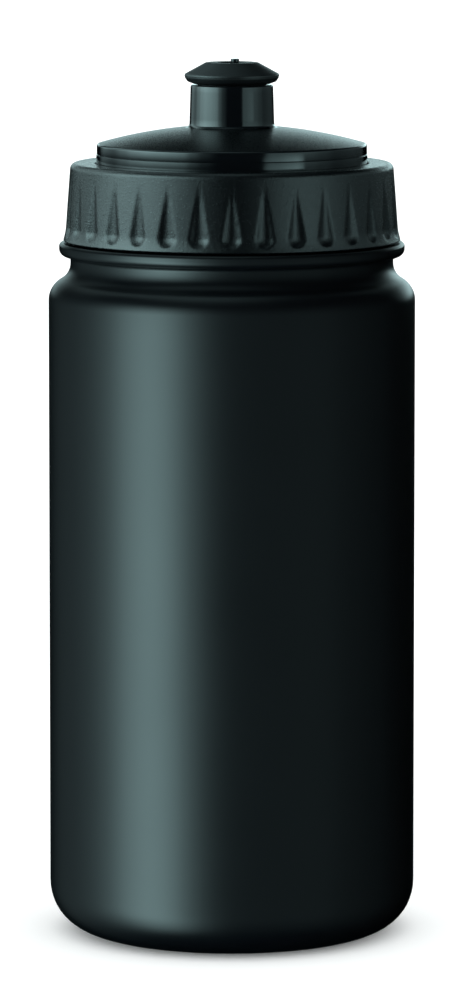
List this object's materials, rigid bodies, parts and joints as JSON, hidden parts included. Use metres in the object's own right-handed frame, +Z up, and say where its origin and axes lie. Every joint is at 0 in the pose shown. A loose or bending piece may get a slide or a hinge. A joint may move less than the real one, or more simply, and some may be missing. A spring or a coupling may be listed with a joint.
{
  "type": "sports squeeze bottle",
  "caption": "Cylindrical soft squeeze bottle with a ribbed screw collar, a domed lid and a push-pull drinking spout.",
  "frame": {"origin": "centre of the base, on the surface that the bottle stands on", "axes": "+Z up along the bottle's axis; the side that faces -Y is the front"},
  "size_m": [0.073, 0.073, 0.174],
  "materials": {
    "satin_black_bottle": "satin blow-moulded polyethylene, black with a cool cast",
    "frosted_collar": "frosted, slightly see-through dark grey polypropylene with a fine spark-eroded grain",
    "gloss_black_lid": "black polypropylene, polished on its side wall and stem and satin on its dome",
    "seal_rubber": "soft grey elastomer",
    "soft_black_mouthpiece": "soft matte black polyethylene"
  },
  "bodies": {
    "bottle": {"bottle_body": "satin_black_bottle"},
    "lid": {"dome_lid": "gloss_black_lid", "seal_ring": "seal_rubber"},
    "collar": {"screw_collar": "frosted_collar"},
    "spout": {"mouthpiece": "soft_black_mouthpiece"}
  },
  "joints": [
    {"name": "cap_lift", "type": "slide", "parent": "bottle", "child": "lid", "axis": [0, 0, 1], "range_m": [0, 0.0135]},
    {"name": "collar_turn", "type": "hinge", "parent": "lid", "child": "collar", "pos_m": [0, 0, 0.145], "axis": [0, 0, 1], "range_deg": [0, 810]},
    {"name": "mouthpiece_pull", "type": "slide", "parent": "lid", "child": "spout", "axis": [0, 0, 1], "range_m": [0, 0.0047]}
  ],
  "couplings": [
    {"joint": "collar_turn", "follows": "cap_lift", "rad_per_m": 1047.2}
  ]
}
